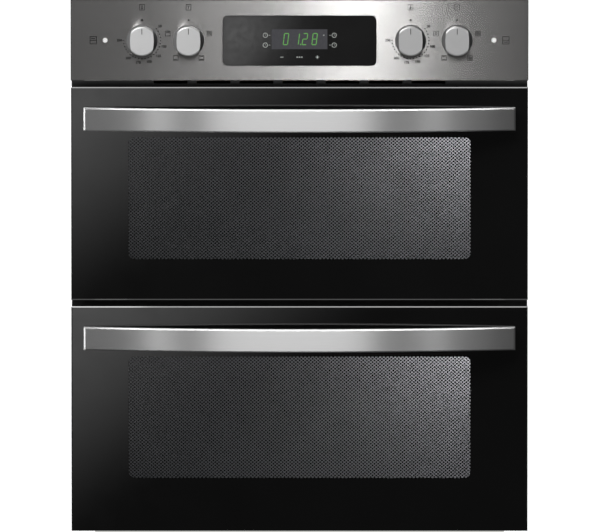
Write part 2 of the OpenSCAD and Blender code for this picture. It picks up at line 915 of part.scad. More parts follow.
module hinge_arms() {
  color(steel) both_sides() for (z = [lower_door_z, upper_door_z]) hinge_arm(z + pivot_rise);
}

module hinge_pins() {
  half = 8.8;
  color(steel) both_sides() for (z = [lower_door_z, upper_door_z])
    rod_x(hinge_x - half, hinge_x + half, pivot_y, z + pivot_rise, pin_r);
}

// Two upright U channels inside the door, open to the back, which turn on the hinge pins
module hinge_channels(door_z) {
  half = 8;
  play = 0.5;
  closed_end = 12;
  front = glass_y + glass_t + play;
  back = door_back_y - glass_t - sheet - play;
  low = door_z + channel_rise;
  pivot_z = door_z + pivot_rise;
  color(galvanised) both_sides() difference() {
    block([hinge_x - half, front, low], [hinge_x + half, back, low + channel_h]);
    block([hinge_x - half + channel_wall, front + channel_wall, low - 1],
          [hinge_x + half - channel_wall, back + 1, low + channel_h - closed_end]);
    block([hinge_x - half + channel_wall, front - 1, low - 1],
          [hinge_x + half - channel_wall, front + channel_wall + 1, pivot_z + arm_r + 2]);
    rod_x(hinge_x - half - 1, hinge_x + half + 1, pivot_y, pivot_z, pin_r + pin_play);
  }
}

// Close-wound springs in the channels, one above each pivot
module hinge_springs(door_z) {
  coils = 20;
  coil_pitch = 4;
  outer_r = 5.4;
  inner_r = 2.6;
  core_r = 2.4;
  wire_depth = 1.2;
  axis_y = pivot_y + 3;
  bottom = door_z + 60;
  core_low = bottom - 8;
  core_top = door_z + channel_rise + channel_h - 12;
  outline = concat(
    [[inner_r, 0]],
    [for (i = [0:coils - 1], step = [0, 1])
      step == 0 ? [outer_r - wire_depth, i * coil_pitch] : [outer_r, (i + 0.5) * coil_pitch]],
    [[outer_r - wire_depth, coils * coil_pitch], [inner_r, coils * coil_pitch]]
  );
  color(steel) both_sides() {
    translate([hinge_x, axis_y, bottom]) rotate_extrude() polygon(outline);
    rod_z(core_low, core_top, hinge_x, axis_y, core_r);
  }
}

module upper_hinge_channels() {
  hinge_channels(upper_door_z);
}

module lower_hinge_channels() {
  hinge_channels(lower_door_z);
}

module upper_hinge_springs() {
  hinge_springs(upper_door_z);
}

module lower_hinge_springs() {
  hinge_springs(lower_door_z);
}

// ---------- doors ----------

// Full-size outer pane with bevelled front edges, drilled for the handle posts
module outer_glass(door_z, door_h) {
  mid = door_z + door_h / 2;
  w = oven_w - 1;
  color(black) difference() {
    hull() {
      upright(glass_y, glass_t) plain_rect(w - 2 * glass_edge_h, door_h - 2 * glass_edge_h, mid);
      upright(glass_y + glass_edge_d, glass_t - glass_edge_d) plain_rect(w, door_h, mid);
    }
    for (x = [-post_x, post_x])
      rod_y(glass_y - eps, glass_y + glass_t + eps, x, door_z + door_h - handle_drop, stud_r + 0.5);
  }
}

// Plain rectangle about (0, mid)
module plain_rect(w, h, mid) {
  translate([0, mid]) square([w, h], center = true);
}

// Inner pane, which covers the mouth of the oven and meets the gasket
module inner_glass(mid, h) {
  reach = 18;
  side_reach = 32;
  corner_r = 6;
  color("#22282a") upright(door_back_y - glass_t, glass_t)
    rounded_rect(cavity_w + 2 * side_reach, h + 2 * reach, corner_r, mid);
}

// Pressed ring of U section between the panes, open to the front, slotted for air and for the hinge arms
module door_frame(door_z, door_h, window_z) {
  front = glass_y + glass_t;
  back = door_back_y - glass_t;
  frame_w = 576;
  frame_r = 3;
  low = door_z + 3;
  top = door_z + door_h - 6;
  hole_w = window_w + 20;
  hole_h = window_h + 12;
  mid = (low + top) / 2;
  arm_slot_half = slot_half + 0.5;
  arm_slot_top = door_z + pivot_rise + arm_r + 2;
  vent_half = 20;
  vent_pitch = 64;
  color("#3c3f41") difference() {
    upright(front, back - front) difference() {
      rounded_rect(frame_w, top - low, frame_r, mid);
      rounded_rect(hole_w, hole_h, window_r, window_z);
    }
    upright(front - 1, back - front - sheet + 1) difference() {
      rounded_rect(frame_w - 2 * sheet, top - low - 2 * sheet, frame_r - sheet, mid);
      rounded_rect(hole_w + 2 * sheet, hole_h + 2 * sheet, window_r + sheet, window_z);
    }
    both_sides() block([hinge_x - arm_slot_half, front + 2 * sheet, low - 1],
                       [hinge_x + arm_slot_half, back + 1, arm_slot_top]);
    for (i = [-3:3], z = [low, top])
      block([i * vent_pitch - vent_half, front + 8, z - 2 * sheet],
            [i * vent_pitch + vent_half, front + 16, z + 2 * sheet]);
  }
}

// Bar bowed in plan, its front edges and ends chamfered
module handle_bar(door_z, door_h) {
  c = handle_chamfer;
  e = handle_back_edge;
  half = handle_h / 2;
  half_l = handle_l / 2;
  back = handle_r - handle_t;
  extra_angle = 2;
  section = [[back + e, -half], [handle_r - c, -half], [handle_r, c - half], [handle_r, half - c],
             [handle_r - c, half], [back + e, half], [back, half - e], [back, e - half]];
  bevel_y = glass_y - handle_end_reach + c;
  plan = [[-half_l, glass_y], [-half_l, bevel_y], [0, bevel_y - half_l], [half_l, bevel_y], [half_l, glass_y]];
  color(steel) translate([0, 0, door_z + door_h - handle_drop]) intersection() {
    translate([0, handle_axis_y, 0]) rotate(270 - handle_angle / 2 - extra_angle)
      rotate_extrude(angle = handle_angle + 2 * extra_angle, $fn = 720) polygon(section);
    translate([0, 0, -handle_h]) linear_extrude(2 * handle_h) polygon(plan);
  }
}

// Posts between the glass and the bar, with studs through the glass
module handle_posts(door_z, door_h) {
  z = door_z + door_h - handle_drop;
  post_gap = 0.02;
  stud_end = glass_y + glass_t + 4;
  color(steel) both_sides() {
    intersection() {
      rod_y(glass_y - handle_reach, glass_y, post_x, z, post_r);
      rod_z(z - handle_h, z + handle_h, 0, handle_axis_y, handle_r - handle_t - post_gap, $fn = 720);
    }
    rod_y(glass_y - 1, stud_end, post_x, z, stud_r);
  }
}

module upper_outer_glass() {
  outer_glass(upper_door_z, upper_door_h);
}

module upper_door_frame() {
  door_frame(upper_door_z, upper_door_h, upper_window_z);
}

module upper_inner_glass() {
  inner_glass(upper_mid, upper_cavity_h);
}

module upper_handle_bar() {
  handle_bar(upper_door_z, upper_door_h);
}

module upper_handle_posts() {
  handle_posts(upper_door_z, upper_door_h);
}

module lower_outer_glass() {
  outer_glass(lower_door_z, lower_door_h);
}

module lower_door_frame() {
  door_frame(lower_door_z, lower_door_h, lower_window_z);
}

module lower_inner_glass() {
  inner_glass(lower_mid, lower_cavity_h);
}

module lower_handle_bar() {
  handle_bar(lower_door_z, lower_door_h);
}

module lower_handle_posts() {
  handle_posts(lower_door_z, lower_door_h);
}

front_frame();
upper_cavity();
lower_cavity();
upper_gasket();
lower_gasket();
insulation_blankets();
side_panel_left();
side_panel_right();
top_cover();
rear_cover();
base_tray();
air_duct();
fascia_panel();
control_bracket();
display_window();
timer_module();
thermostats();
selector_switches();
indicator_lamps();
upper_side_racks();
lower_side_racks();
upper_grill_element();
upper_base_element();
lower_ring_element();
fan_baffle();
fan_motor();
blower_housing();
blower_motor();
lamp_holders();
lamp_lenses();
terminal_box();
hinge_arms();
hinge_pins();
casing_screws();
upper_outer_glass();
upper_door_frame();
upper_inner_glass();
upper_hinge_channels();
upper_hinge_springs();
upper_handle_bar();
upper_handle_posts();
lower_outer_glass();
lower_door_frame();
lower_inner_glass();
lower_hinge_channels();
lower_hinge_springs();
lower_handle_bar();
lower_handle_posts();
upper_thermostat_knob();
upper_selector_knob();
lower_thermostat_knob();
lower_selector_knob();
upper_thermostat_spindle();
upper_selector_spindle();
lower_thermostat_spindle();
lower_selector_spindle();
fan_impeller();
blower_wheel();
upper_shelf();
lower_shelf();
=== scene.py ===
"""Looks, light and camera for a built-under double oven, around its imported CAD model."""
import json
import math

import bmesh
import bpy
from mathutils import Matrix, Vector


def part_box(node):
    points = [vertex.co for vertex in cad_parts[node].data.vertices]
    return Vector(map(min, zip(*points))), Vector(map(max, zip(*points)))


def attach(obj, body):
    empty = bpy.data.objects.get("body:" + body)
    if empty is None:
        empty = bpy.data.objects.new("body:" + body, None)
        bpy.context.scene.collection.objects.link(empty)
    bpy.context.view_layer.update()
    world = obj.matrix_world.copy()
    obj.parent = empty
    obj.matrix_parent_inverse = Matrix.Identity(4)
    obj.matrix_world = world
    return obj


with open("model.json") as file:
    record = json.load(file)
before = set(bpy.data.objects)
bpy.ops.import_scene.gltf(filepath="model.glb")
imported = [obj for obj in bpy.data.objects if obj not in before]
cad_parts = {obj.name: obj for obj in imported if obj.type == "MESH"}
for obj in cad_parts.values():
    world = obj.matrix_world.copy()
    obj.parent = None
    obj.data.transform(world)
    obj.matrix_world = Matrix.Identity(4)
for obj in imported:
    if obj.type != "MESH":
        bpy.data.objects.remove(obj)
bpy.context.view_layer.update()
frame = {"nodes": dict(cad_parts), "record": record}

MM = 0.001
DOORS = ("upper", "lower")
scene = bpy.context.scene
nodes = frame["nodes"]
slot_of = {part["node"]: part["material_slot"] for part in frame["record"]["subparts"]}

# Places that the CAD gives
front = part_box("fascia_panel")[0].y     # the plane of the fascia's face
display_low, display_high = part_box("display_window")
lamp_low, lamp_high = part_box("indicator_lamps")
glass = {door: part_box(f"{door}_outer_glass") for door in DOORS}
knob_box = {key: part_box(f"{key}_knob") for key in
            ("upper_thermostat", "upper_selector", "lower_thermostat", "lower_selector")}

# Windows in the doors
WINDOW_W = 445 * MM
WINDOW_H = 159 * MM
WINDOW_R = 8 * MM           # radius of the corners
WINDOW_DROP = 65.5 * MM     # from the door's top edge


def window_middle(door):
    """Height of the middle of a door's window."""
    return glass[door][1].z - WINDOW_DROP - WINDOW_H / 2


# ---------- node helpers ----------

def new_material(name, **sockets):
    """A material with one Principled shader, its sockets named with _ for a space."""
    mat = bpy.data.materials.new(name)
    mat.use_nodes = True
    shader = mat.node_tree.nodes["Principled BSDF"]
    for socket, value in sockets.items():
        shader.inputs[socket.replace("_", " ")].default_value = value
    return mat


def shader_of(mat):
    return mat.node_tree.nodes["Principled BSDF"]


def add_node(mat, kind, inputs=None, **settings):
    """A new node, with constants or links for its inputs."""
    node = mat.node_tree.nodes.new(kind)
    for key, value in settings.items():
        setattr(node, key, value)
    for key, value in (inputs or {}).items():
        if isinstance(value, bpy.types.NodeSocket):
            mat.node_tree.links.new(value, node.inputs[key])
        else:
            node.inputs[key].default_value = value
    return node


def maths(mat, operation, first, second=0.0, third=0.0):
    node = add_node(mat, "ShaderNodeMath", {0: first, 1: second, 2: third}, operation=operation)
    return node.outputs[0]


def place(mat, stretch=(1, 1, 1)):
    """The object's own coordinates, stretched."""
    coords = add_node(mat, "ShaderNodeTexCoord").outputs["Object"]
    return add_node(mat, "ShaderNodeMapping", {"Vector": coords, "Scale": stretch}).outputs[0]


def noise(mat, scale, stretch=(1, 1, 1), detail=3.0, rough=0.5):
    inputs = {"Vector": place(mat, stretch), "Scale": scale, "Detail": detail, "Roughness": rough}
    return add_node(mat, "ShaderNodeTexNoise", inputs).outputs["Fac"]


def between(mat, factor, low, high, start=0.3, end=0.7):
    """A number that goes from low to high as the factor goes from start to end."""
    inputs = {"Value": factor, "From Min": start, "From Max": end, "To Min": low, "To Max": high}
    return add_node(mat, "ShaderNodeMapRange", inputs).outputs["Result"]


def ramp(mat, factor, stops):
    """A colour ramp through (position, grey or colour) stops."""
    node = add_node(mat, "ShaderNodeValToRGB", {"Fac": factor})
    steps = node.color_ramp.elements
    while len(steps) < len(stops):
        steps.new(1.0)
    for step, (position, colour) in zip(steps, stops):
        step.position = position
        step.color = rgba(colour)
    return node.outputs["Color"]


def rgba(colour):
    """A grey number or a three-part colour as four parts."""
    if isinstance(colour, (int, float)):
        return (colour, colour, colour, 1.0)
    return (*colour, 1.0)


def feed(mat, socket, value):
    mat.node_tree.links.new(value, shader_of(mat).inputs[socket])


def bump(mat, height, distance, strength=1.0):
    """Raises the surface by the height times a distance in metres."""
    inputs = {"Height": height, "Distance": distance, "Strength": strength}
    feed(mat, "Normal", add_node(mat, "ShaderNodeBump", inputs).outputs["Normal"])


# ---------- materials ----------

def brushed(name, colour, rough, anisotropy=0.9):
    """Stainless steel with its grain along X, which spreads highlights across the grain."""
    mat = new_material(name, Metallic=1.0, Anisotropic=anisotropy)
    grain = noise(mat, 1700, (0.010, 1, 1), 3, 0.6)
    clouds = noise(mat, 9, (0.6, 1, 1.6), 2)
    feed(mat, "Base Color", ramp(mat, grain, [(0.3, [c * 0.95 for c in colour]), (0.7, colour)]))
    polish_and_painted_shade = maths(mat, "ADD", grain, maths(mat, "MULTIPLY", clouds, 0.5))
    feed(mat, "Roughness", between(mat, polish_and_painted_shade, rough * 0.96, rough * 1.04, 0.45, 1.05))
    across = add_node(mat, "ShaderNodeCombineXYZ", {"Y": 0.3, "Z": 1.0}).outputs[0]
    turned = add_node(mat, "ShaderNodeVectorTransform", {"Vector": across},
                      vector_type="VECTOR", convert_from="OBJECT", convert_to="WORLD")
    feed(mat, "Tangent", turned.outputs[0])
    bump(mat, grain, 0.0018 * MM)
    return mat


def fascia_steel():
    return brushed("fascia_steel", (0.62, 0.61, 0.60), 0.24, 0.97)


def handle_metal():
    return brushed("handle_metal", (0.66, 0.66, 0.66), 0.34)


def knob_metal():
    """Satin plated knob, very finely turned, with painted shade behind its face."""
    mat = new_material("knob_metal", Metallic=0.55)
    grain = noise(mat, 1400, (1, 0.25, 1), 2)
    depth = add_node(mat, "ShaderNodeSeparateXYZ", {"Vector": place(mat)}).outputs["Y"]
    face_y = knob_box["upper_thermostat"][0].y
    wear = between(mat, noise(mat, 60, detail=2), -0.04, 0.04)
    # Painted shade: the base colour darkens from 3 to 8 mm behind the knob's face, so the grip's sides and
    # the skirt behind it look shaded.
    polish_and_painted_shade = between(mat, depth, 1.0, 0.0, face_y + 3 * MM, face_y + 8 * MM)
    level = maths(mat, "ADD", wear, polish_and_painted_shade)
    feed(mat, "Base Color", ramp(mat, level, [(0.0, 0.17), (1.0, 0.64)]))
    feed(mat, "Roughness", between(mat, grain, 0.34, 0.42))
    bump(mat, grain, 0.004 * MM)
    return mat


def black_enamel():
    mat = new_material("black_enamel", Coat_Weight=0.6, Coat_Roughness=0.12)
    peel = noise(mat, 260, detail=2)
    feed(mat, "Base Color", ramp(mat, noise(mat, 30), [(0.3, 0.008), (0.7, 0.014)]))
    feed(mat, "Roughness", between(mat, peel, 0.28, 0.40))
    bump(mat, peel, 0.02 * MM)
    return mat


def oven_enamel():
    """Blue-black vitreous enamel with pale specks."""
    mat = new_material("oven_enamel", Coat_Weight=0.8, Coat_Roughness=0.08)
    specks = add_node(mat, "ShaderNodeTexVoronoi", {"Vector": place(mat), "Scale": 420.0})
    size = between(mat, noise(mat, 90, detail=1), 0.05, 0.26, 0.4, 0.75)
    fleck = maths(mat, "LESS_THAN", specks.outputs["Distance"], size)
    base = ramp(mat, noise(mat, 14), [(0.3, (0.012, 0.014, 0.020)), (0.7, (0.020, 0.023, 0.031))])
    colours = {"Factor": fleck, 6: base, 7: rgba((0.22, 0.24, 0.27))}
    mix = add_node(mat, "ShaderNodeMix", colours, data_type="RGBA")
    feed(mat, "Base Color", mix.outputs[2])
    peel = noise(mat, 180, detail=2)
    feed(mat, "Roughness", between(mat, peel, 0.20, 0.34))
    bump(mat, peel, 0.04 * MM)
    return mat


def galvanised():
    """Zinc-coated sheet with its spangle of crystals."""
    mat = new_material("galvanised", Metallic=0.9)
    cells = add_node(mat, "ShaderNodeTexVoronoi", {"Vector": place(mat), "Scale": 150.0})
    shade = add_node(mat, "ShaderNodeSeparateColor", {"Color": cells.outputs["Color"]}).outputs[0]
    patches = maths(mat, "MULTIPLY", noise(mat, 25), 0.4)
    mixed = maths(mat, "ADD", maths(mat, "MULTIPLY", shade, 0.6), patches)
    feed(mat, "Base Color", ramp(mat, mixed, [(0.1, (0.47, 0.49, 0.50)), (0.9, (0.58, 0.60, 0.61))]))
    feed(mat, "Roughness", between(mat, mixed, 0.38, 0.50, 0.1, 0.9))
    bump(mat, shade, 0.01 * MM)
    return mat


def gasket_rubber():
    """Woven glass-fibre seal."""
    mat = new_material("gasket_rubber", Sheen_Weight=0.3)
    weave = add_node(mat, "ShaderNodeTexWave", {"Vector": place(mat), "Scale": 260.0, "Distortion": 2.0},
                     bands_direction="DIAGONAL").outputs["Fac"]
    feed(mat, "Base Color", ramp(mat, weave, [(0.2, 0.02), (0.9, 0.06)]))
    feed(mat, "Roughness", between(mat, weave, 0.75, 0.95))
    bump(mat, weave, 0.3 * MM)
    return mat


def mineral_wool():
    mat = new_material("mineral_wool", Sheen_Weight=0.2)
    fibres = noise(mat, 300, (0.3, 1, 0.5), 6, 0.7)
    feed(mat, "Base Color", ramp(mat, fibres, [(0.3, (0.42, 0.33, 0.14)), (0.7, (0.68, 0.58, 0.33))]))
    feed(mat, "Roughness", between(mat, fibres, 0.85, 1.0))
    bump(mat, fibres, 1.5 * MM)
    return mat


def display_glass():
    """Smoked black glass over the timer."""
    mat = new_material("display_glass", IOR=1.5, Coat_Weight=0.5, Coat_Roughness=0.02)
    feed(mat, "Base Color", ramp(mat, noise(mat, 40), [(0.3, 0.016), (0.7, 0.020)]))
    feed(mat, "Roughness", between(mat, noise(mat, 120), 0.05, 0.09))
    return mat


def moulded(name, dark, light, rough, grain_scale=700, relief=0.03):
    """Moulded or fired material: two close shades, and a fine grain."""
    mat = new_material(name)
    grain = noise(mat, grain_scale, detail=2)
    feed(mat, "Base Color", ramp(mat, noise(mat, 40), [(0.3, dark), (0.7, light)]))
    feed(mat, "Roughness", between(mat, grain, rough - 0.07, rough + 0.07))
    bump(mat, grain, relief * MM)
    return mat


def plated(name, dark, light, rough, metallic=1.0, scale=120):
    """Plated or rolled metal with faint clouds and marks."""
    mat = new_material(name, Metallic=metallic)
    marks = noise(mat, scale, detail=5, rough=0.6)
    feed(mat, "Base Color", ramp(mat, marks, [(0.3, dark), (0.7, light)]))
    feed(mat, "Roughness", between(mat, marks, rough * 0.8, rough * 1.2))
    bump(mat, marks, 0.01 * MM)
    return mat


def element_steel():
    """Sheathed heating rod, browned by heat."""
    return plated("element_steel", (0.10, 0.08, 0.065), (0.26, 0.22, 0.18), 0.5, 0.7, 70)


def lamp_glass():
    mat = new_material("lamp_glass", Transmission_Weight=0.6, IOR=1.47)
    tint = ramp(mat, noise(mat, 50), [(0.3, (0.78, 0.83, 0.84)), (0.7, (0.88, 0.92, 0.92))])
    feed(mat, "Base Color", tint)
    feed(mat, "Roughness", between(mat, noise(mat, 200), 0.05, 0.16))
    return mat


def clear_glass():
    """Inner pane: nearly clear, a little green, with a film of grease."""
    mat = new_material("clear_glass", IOR=1.5, Coat_Weight=0.3, Coat_Roughness=0.03)
    film = noise(mat, 22, detail=4)
    feed(mat, "Base Color", ramp(mat, film, [(0.3, (0.10, 0.13, 0.12)), (0.7, (0.14, 0.17, 0.16))]))
    feed(mat, "Roughness", between(mat, film, 0.03, 0.09))
    feed(mat, "Alpha", between(mat, film, 0.50, 0.58))
    return mat


def door_glass(door):
    """Glossy pane, printed black on its back except in the window."""
    mat = new_material(f"{door}_door_glass", IOR=1.5)
    parts = add_node(mat, "ShaderNodeSeparateXYZ", {"Vector": place(mat)})
    across = maths(mat, "ABSOLUTE", parts.outputs["X"])
    up = maths(mat, "ABSOLUTE", maths(mat, "SUBTRACT", parts.outputs["Z"], window_middle(door)))
    over_x = maths(mat, "MAXIMUM", maths(mat, "SUBTRACT", across, WINDOW_W / 2 - WINDOW_R), 0.0)
    over_z = maths(mat, "MAXIMUM", maths(mat, "SUBTRACT", up, WINDOW_H / 2 - WINDOW_R), 0.0)
    squares = maths(mat, "ADD", maths(mat, "POWER", over_x, 2.0), maths(mat, "POWER", over_z, 2.0))
    reach = maths(mat, "SQRT", squares)
    printed = maths(mat, "GREATER_THAN", reach, WINDOW_R)
    feed(mat, "Alpha", maths(mat, "MAXIMUM", printed, 0.3))
    feed(mat, "Base Color", ramp(mat, noise(mat, 8), [(0.3, 0.0018), (0.7, 0.0026)]))
    feed(mat, "Roughness", between(mat, noise(mat, 40), 0.03, 0.06))
    return mat


def print_ink(name, dark, light, rough=0.55):
    return moulded(name, dark, light, rough, 1500, 0.004)


def screen_print():
    """Grey metallic ink of the dot screen on the back of the door glass."""
    mat = new_material("screen_print", Metallic=0.35)
    grain = noise(mat, 1200, detail=2)
    tint = ramp(mat, noise(mat, 30), [(0.3, (0.52, 0.525, 0.56)), (0.7, (0.58, 0.585, 0.62))])
    feed(mat, "Base Color", tint)
    feed(mat, "Roughness", between(mat, grain, 0.48, 0.60))
    bump(mat, grain, 0.01 * MM)
    return mat


def glowing(name, colour, strength):
    """A surface that glows a little: lit figures and indicator lamps, and printed signs and a grey screen
    whose glow is painted light.
    """
    mat = new_material(name, Emission_Strength=strength, Roughness=0.4)
    duller = [c * 0.6 for c in colour]
    dimmer = [c * 0.9 for c in colour]
    feed(mat, "Base Color", ramp(mat, noise(mat, 400), [(0.3, duller), (0.7, colour)]))
    feed(mat, "Emission Color", ramp(mat, noise(mat, 300), [(0.2, dimmer), (0.8, colour)]))
    return mat


SLOT_MATERIALS = {
    "fascia_steel": fascia_steel(),
    "black_enamel": black_enamel(),
    "oven_enamel": oven_enamel(),
    "galvanised": galvanised(),
    "gasket_rubber": gasket_rubber(),
    "mineral_wool": mineral_wool(),
    "display_glass": display_glass(),
    "module_plastic": moulded("module_plastic", (0.015, 0.05, 0.03), (0.02, 0.065, 0.04), 0.5),
    "zinc_steel": plated("zinc_steel", (0.48, 0.48, 0.45), (0.62, 0.61, 0.57), 0.34),
    "switch_ceramic": moulded("switch_ceramic", (0.62, 0.60, 0.55), (0.72, 0.70, 0.65), 0.5),
    "lamp_plastic": glowing("lamp_plastic", (0.95, 0.95, 0.93), 0.55),
    "chrome_wire": plated("chrome_wire", (0.62, 0.63, 0.65), (0.76, 0.77, 0.79), 0.16),
    "element_steel": element_steel(),
    "lamp_ceramic": moulded("lamp_ceramic", (0.70, 0.69, 0.65), (0.80, 0.79, 0.76), 0.45),
    "lamp_glass": lamp_glass(),
    "black_plastic": moulded("black_plastic", 0.012, 0.02, 0.5),
    "hinge_steel": plated("hinge_steel", (0.42, 0.42, 0.40), (0.55, 0.54, 0.51), 0.4),
    "clear_glass": clear_glass(),
    "door_steel": plated("door_steel", 0.035, 0.06, 0.45, 0.4),
    "handle_metal": handle_metal(),
    "knob_metal": knob_metal(),
    "fan_plastic": moulded("fan_plastic", 0.014, 0.024, 0.45),
}


def dress(node, mat):
    nodes[node].data.materials.clear()
    nodes[node].data.materials.append(mat)


def dress_cad_nodes():
    for node, slot in slot_of.items():
        if slot == "door_glass":
            dress(node, door_glass(node.split("_")[0]))
        else:
            dress(node, SLOT_MATERIALS[slot])


# ---------- flat artwork, drawn in (x, z) and raised off a surface ----------

def disc(x, z, radius, sides=20):
    return [(x + radius * math.cos(math.tau * i / sides), z + radius * math.sin(math.tau * i / sides))
            for i in range(sides)]


def bar(x0, z0, x1, z1, width):
    """A straight stroke between two points."""
    along = Vector((x1 - x0, z1 - z0)).normalized() * width / 2
    across = Vector((-along.y, along.x))
    ends = [Vector((x0, z0)) - along, Vector((x1, z1)) + along]
    corners = (ends[0] - across, ends[1] - across, ends[1] + across, ends[0] + across)
    return [tuple(c) for c in corners]


def frame_strokes(x, z, w, h, width):
    """Four strokes round a rectangle."""
    left, right, low, high = x - w / 2, x + w / 2, z - h / 2, z + h / 2
    corners = [(left, low), (right, low), (right, high), (left, high)]
    return [bar(*a, *b, width) for a, b in zip(corners, corners[1:] + corners[:1])]


def ring_strokes(x, z, radius, width, sides=20, start=0.0, sweep=math.tau):
    """Short strokes along an arc."""
    def point(i):
        angle = start + sweep * i / sides
        return x + radius * math.cos(angle), z + radius * math.sin(angle)
    return [bar(*point(i), *point(i + 1), width) for i in range(sides)]


def artwork(name, shapes, surface_y, mat, body="root", height=0.06 * MM):
    """One mesh of flat raised shapes on a surface that faces -Y."""
    mesh = bmesh.new()
    for shape in shapes:
        near = [mesh.verts.new((x, surface_y - height, z)) for x, z in shape]
        far = [mesh.verts.new((x, surface_y + height, z)) for x, z in shape]
        mesh.faces.new(near)
        mesh.faces.new(list(reversed(far)))
        for i in range(len(shape)):
            j = (i + 1) % len(shape)
            mesh.faces.new((near[j], near[i], far[i], far[j]))
    finish_piece(name, mesh, mat, body)


def finish_piece(name, mesh, mat, body):
    """An object of the mesh, riding on a body."""
    bmesh.ops.recalc_face_normals(mesh, faces=mesh.faces)
    data = bpy.data.meshes.new(name)
    mesh.to_mesh(data)
    mesh.free()
    data.materials.append(mat)
    piece = bpy.data.objects.new(name, data)
    scene.collection.objects.link(piece)
    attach(piece, body)


def lettering(name, words, surface_y, mat, size):
    """Dial numbers, each a (text, x, z), standing on a surface that faces -Y."""
    mesh = bmesh.new()
    for text, x, z in words:
        curve = bpy.data.curves.new("figures", "FONT")
        curve.body = text
        curve.size = size
        curve.align_x = "CENTER"
        curve.align_y = "CENTER"
        curve.extrude = 0.05 * MM
        curve.offset = 0.14 * MM
        holder = bpy.data.objects.new("figures", curve)
        flat = bpy.data.meshes.new_from_object(holder)
        flat.transform(Matrix.Translation((x, surface_y, z)) @ Matrix.Rotation(math.pi / 2, 4, "X"))
        mesh.from_mesh(flat)
        bpy.data.objects.remove(holder)
        bpy.data.curves.remove(curve)
        bpy.data.meshes.remove(flat)
    finish_piece(name, mesh, mat, "root")


# ---------- printing on the fascia ----------

STROKE = 0.62 * MM
PICTURE = 6.2 * MM          # side of a small picture beside a selector
HEADING = 7.3 * MM          # height of the picture over each knob
HEADING_RISE = 43 * MM      # from a knob's axis to that picture
MARK_RISE = 26.2 * MM       # from a knob's axis to its zero mark
NUMBER_HEIGHT = 4.6 * MM
DOT_RADIUS = 0.9 * MM
DOT_RING = 24.0 * MM
NUMBER_RING = 29.5 * MM
PICTURE_RING = 28.5 * MM
PICTURE_STEP = 72           # degrees between pictures, as between the selector's positions
DIAL_DOTS = 23
DIAL_START = 51
DIAL_END = 270
DIAL_NUMBERS = (("50", 52), ("100", 106), ("125", 134), ("150", 162),
                ("175", 190), ("200", 218), ("250", 270))
BOTH_BARS = (0.28, -0.28)   # heights of the top and bottom heat in a picture, as shares of its side
TOP_BAR = BOTH_BARS[:1]
BOTTOM_BAR = BOTH_BARS[1:]


def knob_axis(key):
    low, high = knob_box[key]
    return (low.x + high.x) / 2, (low.z + high.z) / 2


def on_dial(key, degrees, radius):
    """The point at a clockwise angle from the top of a knob."""
    x, z = knob_axis(key)
    angle = math.radians(degrees)
    return x + radius * math.sin(angle), z + radius * math.cos(angle)


def oven_picture(x, z, size, bars):
    """A square oven with bars at its top or bottom."""
    shapes = frame_strokes(x, z, size, size, STROKE)
    reach = size * 0.28
    for level in bars:
        bar_z = z + size * level
        shapes.append(bar(x - reach, bar_z, x + reach, bar_z, STROKE * 1.3))
    return shapes


def fan_picture(x, z, size):
    """A square oven with a three-bladed fan in a ring."""
    shapes = frame_strokes(x, z, size, size, STROKE)
    shapes += ring_strokes(x, z, size * 0.34, STROKE * 0.8, 16)
    for i in range(3):
        angle = math.radians(90 + 120 * i)
        reach = size * 0.14
        shapes.append(disc(x + reach * math.cos(angle), z + reach * math.sin(angle), size * 0.11, 10))
    return shapes


def lamp_picture(x, z, size):
    """A square oven with a bulb."""
    shapes = frame_strokes(x, z, size, size, STROKE)
    shapes += ring_strokes(x, z + size * 0.06, size * 0.2, STROKE, 14)
    shapes.append(bar(x - size * 0.1, z - size * 0.26, x + size * 0.1, z - size * 0.26, STROKE))
    return shapes


def thermometer_picture(x, z, size):
    """A thermometer in a frame, over the thermostat knobs."""
    shapes = frame_strokes(x, z, size * 0.86, size, STROKE)
    shapes.append(bar(x, z - size * 0.1, x, z + size * 0.3, STROKE * 1.6))
    shapes.append(disc(x, z - size * 0.22, size * 0.14, 12))
    return shapes


def selector_picture(x, z, size):
    """Two bars in a frame, over the selector knobs."""
    shapes = frame_strokes(x, z, size * 0.86, size, STROKE)
    shapes.append(bar(x - size * 0.16, z + size * 0.2, x + size * 0.16, z + size * 0.2, STROKE))
    shapes.append(bar(x, z - size * 0.22, x, z + size * 0.06, STROKE))
    return shapes


def dial_dots(key):
    """Small dots round a thermostat knob, from its first number to its last."""
    step = (DIAL_END - DIAL_START) / (DIAL_DOTS - 1)
    return [disc(*on_dial(key, DIAL_START + i * step, DOT_RING), DOT_RADIUS, 10) for i in range(DIAL_DOTS)]


def print_thermostat(key, ink):
    x, z = knob_axis(key)
    shapes = dial_dots(key) + [disc(x, z + MARK_RISE, 1.5 * MM)]
    shapes += thermometer_picture(x, z + HEADING_RISE, HEADING)
    artwork(f"{key}_dial_marks", shapes, front, ink)
    numbers = [(text, *on_dial(key, degrees, NUMBER_RING)) for text, degrees in DIAL_NUMBERS]
    lettering(f"{key}_dial_numbers", numbers, front, ink, NUMBER_HEIGHT)


def print_selector(key, pictures, ink):
    """The pictures round a selector: each a function that draws one, with its bars if it has any."""
    x, z = knob_axis(key)
    shapes = [disc(x, z + MARK_RISE, 1.2 * MM)] + selector_picture(x, z + HEADING_RISE, HEADING)
    for i, (draw, *bars) in enumerate(pictures):
        picture_x, picture_z = on_dial(key, PICTURE_STEP * (i + 1), PICTURE_RING)
        shapes += draw(picture_x, picture_z, PICTURE, *bars)
    artwork(f"{key}_dial_marks", shapes, front, ink)


